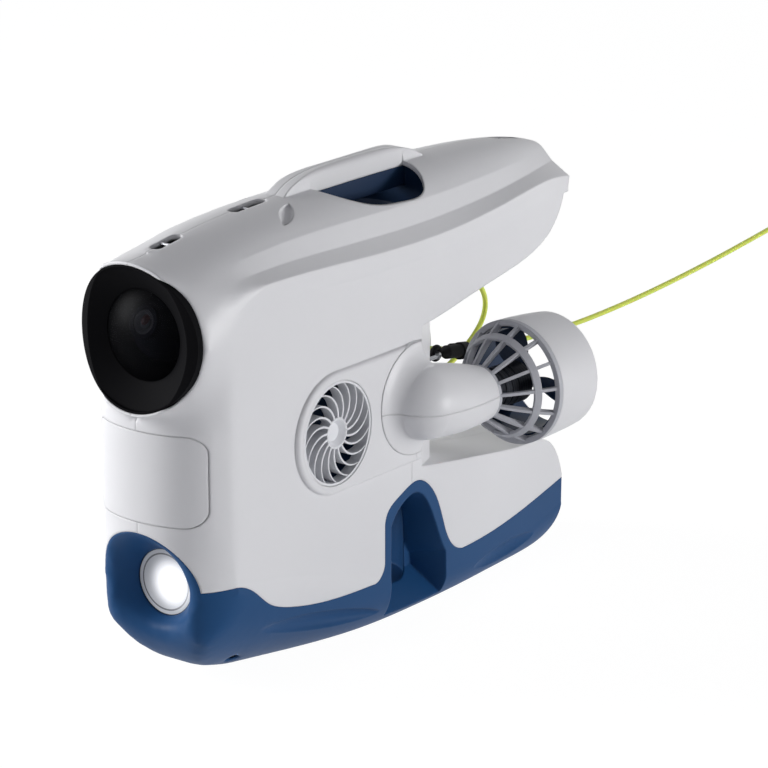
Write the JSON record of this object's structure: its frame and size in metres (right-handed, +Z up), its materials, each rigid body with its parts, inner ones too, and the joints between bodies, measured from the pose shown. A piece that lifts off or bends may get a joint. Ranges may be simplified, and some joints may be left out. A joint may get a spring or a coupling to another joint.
{
  "type": "underwater inspection rov",
  "caption": "Compact remotely operated underwater vehicle with a tall two-tone hull, domed tilting camera, lamp, guarded thrusters, carrying handle and clipped tether.",
  "frame": {"origin": "under the middle of the hull, on the plane that the keel stands on", "axes": "+X to port, +Y aft along the hull, +Z up; the camera faces -Y"},
  "size_m": [0.257, 0.8971, 0.354],
  "materials": {
    "shell_white": "satin",
    "keel_blue": "satin",
    "liner_navy": "matte",
    "hood_black": "matte",
    "guard_grey": "satin",
    "clear_dome": "polished",
    "lens_glass": "polished",
    "camera_black": "anodised",
    "tube_alloy": "anodised",
    "motor_alloy": "anodised",
    "propeller_navy": "satin",
    "steel": "brushed",
    "brass": "machined",
    "reflector": "polished",
    "board_green": "coated",
    "foam": "foam",
    "tether_yellow": "satin",
    "rope_black": "braided",
    "plug_black": "moulded"
  },
  "bodies": {
    "hull": {"port_shell": "shell_white", "starboard_shell": "shell_white", "port_fin_shell": "shell_white", "starboard_fin_shell": "shell_white", "front_cover": "shell_white", "keel_shell": "keel_blue", "camera_hood": "hood_black", "dome_window": "clear_dome", "camera_cradle": "tube_alloy", "tilt_servo": "plug_black", "electronics_tube": "tube_alloy", "tube_rear_cap": "tube_alloy", "tube_cap_bolts": "steel", "electronics_boards": "board_green", "battery_can": "plug_black", "battery_cap": "hood_black", "lamp_body": "motor_alloy", "lamp_lens": "lens_glass", "lamp_reflector": "reflector", "light_board": "board_green", "lamp_screws": "steel", "ballast_bars": "steel", "accessory_inserts": "brass", "keel_screws": "steel", "lateral_tunnel": "liner_navy", "port_grille": "guard_grey", "starboard_grille": "guard_grey", "lateral_motor": "motor_alloy", "lateral_motor_mount": "liner_navy", "vertical_motor": "motor_alloy", "vertical_motor_mount": "liner_navy", "intake_liner": "liner_navy", "buoyancy_foam": "foam", "lift_pins": "steel", "tow_eye": "shell_white", "snap_hook": "steel", "braided_grip": "rope_black", "grip_clamps": "plug_black", "tether_gland": "hood_black", "tether": "tether_yellow", "tether_plug": "plug_black", "port_arm_upper": "shell_white", "port_arm_lower": "shell_white", "port_guard": "guard_grey", "port_duct": "shell_white", "port_duct_liner": "liner_navy", "port_motor": "motor_alloy", "starboard_arm_upper": "shell_white", "starboard_arm_lower": "shell_white", "starboard_guard": "guard_grey", "starboard_duct": "shell_white", "starboard_duct_liner": "liner_navy", "starboard_motor": "motor_alloy"},
    "lateral_propeller": {"lateral_propeller": "propeller_navy"},
    "vertical_propeller": {"vertical_propeller": "propeller_navy"},
    "port_propeller": {"port_propeller": "propeller_navy"},
    "starboard_propeller": {"starboard_propeller": "propeller_navy"},
    "camera_head": {"camera_pod": "camera_black", "camera_lens": "lens_glass"},
    "hook_gate": {"hook_gate": "steel"}
  },
  "joints": [
    {"name": "lateral_spin", "type": "hinge", "parent": "hull", "child": "lateral_propeller", "pos_m": [0, -0.086, 0.1736], "axis": [1, 0, 0], "continuous": true},
    {"name": "vertical_spin", "type": "hinge", "parent": "hull", "child": "vertical_propeller", "pos_m": [0, 0.017, 0.217], "axis": [0, 0, 1], "continuous": true},
    {"name": "port_spin", "type": "hinge", "parent": "hull", "child": "port_propeller", "pos_m": [0.08015, 0.12733, 0.1681], "axis": [0.0915, 0.9958, 0], "continuous": true},
    {"name": "starboard_spin", "type": "hinge", "parent": "hull", "child": "starboard_propeller", "pos_m": [-0.08015, 0.12733, 0.1681], "axis": [-0.0915, 0.9958, 0], "continuous": true},
    {"name": "camera_tilt", "type": "hinge", "parent": "hull", "child": "camera_head", "pos_m": [0, -0.203, 0.27], "axis": [1, 0, 0], "range_deg": [-8, 52]},
    {"name": "gate_swing", "type": "hinge", "parent": "hull", "child": "hook_gate", "pos_m": [0.006, 0.112, 0.175], "axis": [0, 0, -1], "range_deg": [0, 22], "stiffness_Nm_per_rad": 0.02, "springref_deg": -17.19}
  ]
}
